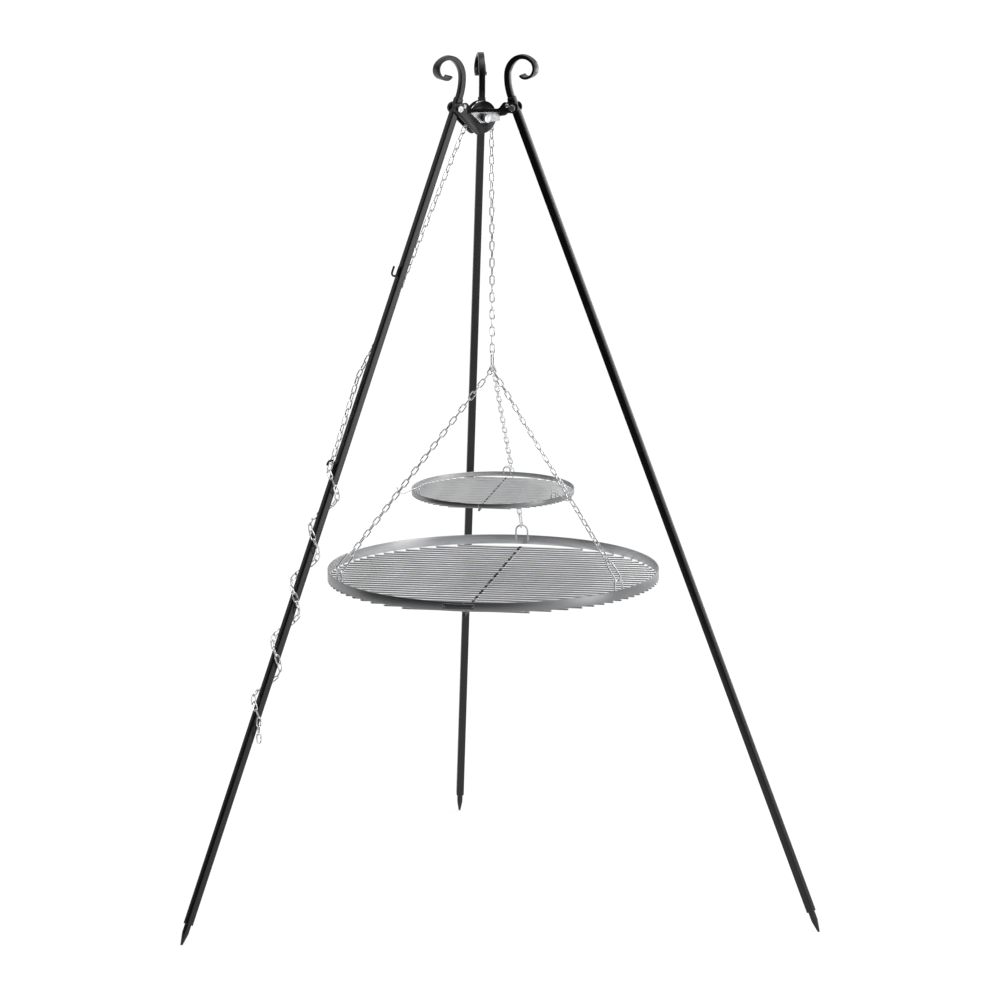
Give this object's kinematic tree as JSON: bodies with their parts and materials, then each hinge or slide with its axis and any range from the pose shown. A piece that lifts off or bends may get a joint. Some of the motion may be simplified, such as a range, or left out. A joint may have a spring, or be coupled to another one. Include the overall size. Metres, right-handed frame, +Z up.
{
  "type": "tripod grill",
  "caption": "Tripod swing grill with hinged scroll-topped legs, a chain hoist over a head wheel, and a large and a small round grate hung on drop chains.",
  "frame": {"origin": "on the ground, in the middle of the box around the three feet", "axes": "+Z up, +Y towards the back leg, +X to the right as seen from the front"},
  "size_m": [1.3434, 1.2047, 1.8168],
  "materials": {
    "black_paint": "gloss",
    "zinc_hardware": "bright zinc",
    "galvanised_chain": "galvanised",
    "bare_steel": "satin"
  },
  "bodies": {
    "head": {"front_strap": "black_paint", "rear_left_strap": "black_paint", "rear_right_strap": "black_paint", "pulley_plate_near": "zinc_hardware", "pulley_plate_far": "zinc_hardware", "brace_near": "black_paint", "brace_far": "black_paint", "axle_bolt": "zinc_hardware", "axle_nut": "zinc_hardware", "axle_spacer": "black_paint", "chain_over_wheel": "galvanised_chain", "stop_pin_left": "zinc_hardware", "stop_pin_right": "zinc_hardware", "stop_pin_back": "zinc_hardware", "pivot_bolt_left": "zinc_hardware", "pivot_bolt_right": "zinc_hardware", "pivot_bolt_back": "zinc_hardware", "pivot_nut_left": "zinc_hardware", "pivot_nut_right": "zinc_hardware", "pivot_nut_back": "zinc_hardware"},
    "wheel": {"pulley_wheel": "black_paint"},
    "left_leg": {"leg_tube_left": "black_paint", "scroll_left": "black_paint", "foot_spike_left": "black_paint", "leg_hook_upper": "black_paint", "leg_hook_lower": "black_paint", "chain_down_leg": "galvanised_chain", "chain_tail": "galvanised_chain"},
    "right_leg": {"leg_tube_right": "black_paint", "scroll_right": "black_paint", "foot_spike_right": "black_paint"},
    "back_leg": {"leg_tube_back": "black_paint", "scroll_back": "black_paint", "foot_spike_back": "black_paint"},
    "hanger": {"hoist_top_link": "galvanised_chain"},
    "hoist": {"hoist_chain": "galvanised_chain"},
    "grates": {"hanger_ring": "galvanised_chain", "big_grate_rim": "bare_steel", "big_grate_rods": "bare_steel", "small_grate_rim": "bare_steel", "small_grate_rods": "bare_steel", "drop_chain_left": "galvanised_chain", "drop_chain_right": "galvanised_chain", "drop_chain_back": "galvanised_chain", "end_link_left": "galvanised_chain", "end_link_right": "galvanised_chain", "end_link_back": "galvanised_chain", "big_bail_left": "bare_steel", "big_bail_right": "bare_steel", "big_bail_back": "bare_steel", "small_bail_left": "bare_steel", "small_bail_right": "bare_steel", "small_bail_back": "bare_steel", "small_hook_left": "galvanised_chain", "small_hook_right": "galvanised_chain", "small_hook_back": "galvanised_chain"}
  },
  "joints": [
    {"name": "leg_left_fold", "type": "hinge", "parent": "head", "child": "left_leg", "pos_m": [-0.06235, -0.24931, 1.70363], "axis": [0.5, -0.866, 0], "range_deg": [0, 5], "deforming": ["chain_down_leg"]},
    {"name": "leg_right_fold", "type": "hinge", "parent": "head", "child": "right_leg", "pos_m": [0.06235, -0.24931, 1.70363], "axis": [0.5, 0.866, 0], "range_deg": [0, 5]},
    {"name": "leg_back_fold", "type": "hinge", "parent": "head", "child": "back_leg", "pos_m": [0, -0.14131, 1.68613], "axis": [-1, 0, 0], "range_deg": [0, 5]},
    {"name": "wheel_spin", "type": "hinge", "parent": "head", "child": "wheel", "pos_m": [-0.00736, -0.21756, 1.67863], "axis": [0.5, -0.866, 0], "continuous": true},
    {"name": "grate_swing", "type": "hinge", "parent": "head", "child": "hanger", "pos_m": [0.01645, -0.20381, 1.66195], "axis": [0.5, -0.866, 0], "range_deg": [-3, 6]},
    {"name": "grate_lower", "type": "slide", "parent": "hanger", "child": "hoist", "axis": [0, 0, -1], "range_m": [-0.18, 0.3], "deforming": ["hoist_chain"]},
    {"name": "grate_swivel", "type": "hinge", "parent": "hoist", "child": "grates", "pos_m": [0.01645, -0.20381, 1.173], "axis": [0, 0, 1], "range_deg": [-180, 180]}
  ],
  "couplings": [
    {"joint": "wheel_spin", "follows": "grate_lower", "rad_per_m": -36.364}
  ]
}
